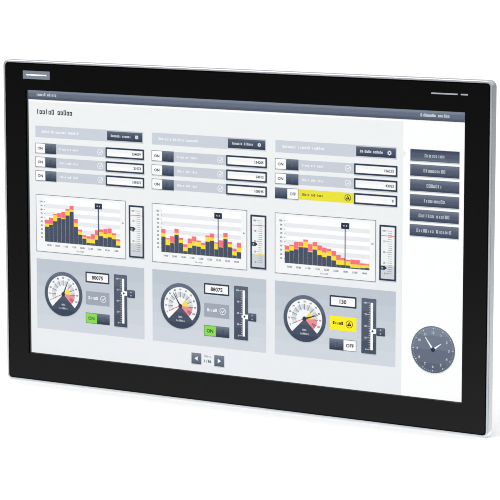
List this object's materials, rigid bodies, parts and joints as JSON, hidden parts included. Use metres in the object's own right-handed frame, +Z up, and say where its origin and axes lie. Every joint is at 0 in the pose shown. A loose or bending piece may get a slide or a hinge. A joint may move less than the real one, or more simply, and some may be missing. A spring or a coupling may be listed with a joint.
{
  "type": "hmi touch panel",
  "caption": "Widescreen operator touch panel for a cabinet door: glass front in an aluminium frame, display, rear housing with sockets, and screw clamps.",
  "frame": {"origin": "centre of the front outline, in the plane of the front frame's rear face, where the cabinet door's sheet comes to rest", "axes": "+X to the viewer's right along the long side, +Y from the glass towards the back, +Z up"},
  "size_m": [0.53, 0.071, 0.3274],
  "materials": {
    "anodised_aluminium": "satin anodised",
    "cast_aluminium": "matt cast",
    "zinc_steel": "zinc-plated sheet",
    "bright_steel": "bright nickel-plated",
    "cover_glass": "gloss",
    "black_tape": "matt",
    "sensor_film": "clear",
    "rubber": "matt",
    "lit_screen": "lit picture",
    "white_film": "matt",
    "clear_acrylic": "clear",
    "circuit_board": "solder mask",
    "black_plastic": "fine texture",
    "green_plastic": "moulded",
    "amber_film": "polyimide",
    "grey_pad": "soft",
    "brass": "nickel-free brass"
  },
  "bodies": {
    "panel": {"front_frame": "anodised_aluminium", "front_glass": "cover_glass", "glass_bond_frame": "black_tape", "touch_sensor": "sensor_film", "mounting_gasket": "rubber", "lcd_bezel": "zinc_steel", "lcd_cell": "lit_screen", "optical_films": "white_film", "light_guide": "clear_acrylic", "led_bar": "white_film", "lcd_back_tray": "zinc_steel", "lcd_bracket_left": "zinc_steel", "lcd_bracket_right": "zinc_steel", "rear_tub": "zinc_steel", "ground_stud": "brass", "ground_washer": "brass", "ground_nut": "brass", "rear_cover": "cast_aluminium", "cover_screw_1": "bright_steel", "cover_screw_2": "bright_steel", "cover_screw_3": "bright_steel", "cover_screw_4": "bright_steel", "cover_screw_5": "bright_steel", "cover_screw_6": "bright_steel", "mainboard": "circuit_board", "heat_spreader": "cast_aluminium", "thermal_pad": "grey_pad", "power_module": "zinc_steel", "network_socket_1": "bright_steel", "network_socket_2": "bright_steel", "usb_socket_1": "bright_steel", "usb_socket_2": "bright_steel", "power_socket": "green_plastic", "card_reader": "bright_steel", "card_door_pin": "bright_steel", "touch_controller": "circuit_board", "touch_ribbon": "amber_film", "display_ribbon": "amber_film", "backlight_cable": "black_plastic", "clamp_bracket_1": "cast_aluminium", "clamp_bracket_2": "cast_aluminium", "clamp_bracket_3": "cast_aluminium", "clamp_bracket_4": "cast_aluminium", "clamp_bracket_5": "cast_aluminium", "clamp_bracket_6": "cast_aluminium", "clamp_bracket_7": "cast_aluminium", "clamp_bracket_8": "cast_aluminium"},
    "clamp_screw_1": {"clamp_screw_1": "bright_steel"},
    "clamp_screw_2": {"clamp_screw_2": "bright_steel"},
    "clamp_screw_3": {"clamp_screw_3": "bright_steel"},
    "clamp_screw_4": {"clamp_screw_4": "bright_steel"},
    "clamp_screw_5": {"clamp_screw_5": "bright_steel"},
    "clamp_screw_6": {"clamp_screw_6": "bright_steel"},
    "clamp_screw_7": {"clamp_screw_7": "bright_steel"},
    "clamp_screw_8": {"clamp_screw_8": "bright_steel"},
    "power_plug": {"power_plug": "green_plastic"},
    "terminal_screw_1": {"terminal_screw_1": "zinc_steel"},
    "terminal_screw_2": {"terminal_screw_2": "zinc_steel"},
    "memory_card": {"memory_card": "black_plastic"},
    "card_door": {"card_door": "black_plastic"}
  },
  "joints": [
    {"name": "clamp_screw_1_advance", "type": "slide", "parent": "panel", "child": "clamp_screw_1", "axis": [0, -1, 0], "range_m": [0, 0.0055]},
    {"name": "clamp_screw_2_advance", "type": "slide", "parent": "panel", "child": "clamp_screw_2", "axis": [0, -1, 0], "range_m": [0, 0.0055]},
    {"name": "clamp_screw_3_advance", "type": "slide", "parent": "panel", "child": "clamp_screw_3", "axis": [0, -1, 0], "range_m": [0, 0.0055]},
    {"name": "clamp_screw_4_advance", "type": "slide", "parent": "panel", "child": "clamp_screw_4", "axis": [0, -1, 0], "range_m": [0, 0.0055]},
    {"name": "clamp_screw_5_advance", "type": "slide", "parent": "panel", "child": "clamp_screw_5", "axis": [0, -1, 0], "range_m": [0, 0.0055]},
    {"name": "clamp_screw_6_advance", "type": "slide", "parent": "panel", "child": "clamp_screw_6", "axis": [0, -1, 0], "range_m": [0, 0.0055]},
    {"name": "clamp_screw_7_advance", "type": "slide", "parent": "panel", "child": "clamp_screw_7", "axis": [0, -1, 0], "range_m": [0, 0.0055]},
    {"name": "clamp_screw_8_advance", "type": "slide", "parent": "panel", "child": "clamp_screw_8", "axis": [0, -1, 0], "range_m": [0, 0.0055]},
    {"name": "power_plug_pull", "type": "slide", "parent": "panel", "child": "power_plug", "axis": [0, 0, -1], "range_m": [0, 0.012]},
    {"name": "terminal_screw_1_turn", "type": "hinge", "parent": "power_plug", "child": "terminal_screw_1", "pos_m": [-0.15381, 0.046, -0.1282], "axis": [0, 1, 0], "continuous": true},
    {"name": "terminal_screw_2_turn", "type": "hinge", "parent": "power_plug", "child": "terminal_screw_2", "pos_m": [-0.14619, 0.046, -0.1282], "axis": [0, 1, 0], "continuous": true},
    {"name": "memory_card_travel", "type": "slide", "parent": "panel", "child": "memory_card", "axis": [-1, 0, 0], "range_m": [-0.001, 0.004]},
    {"name": "card_door_swing", "type": "hinge", "parent": "panel", "child": "card_door", "pos_m": [-0.2024, 0.0342, 0.033], "axis": [0, 0, 1], "range_deg": [0, 90]}
  ]
}
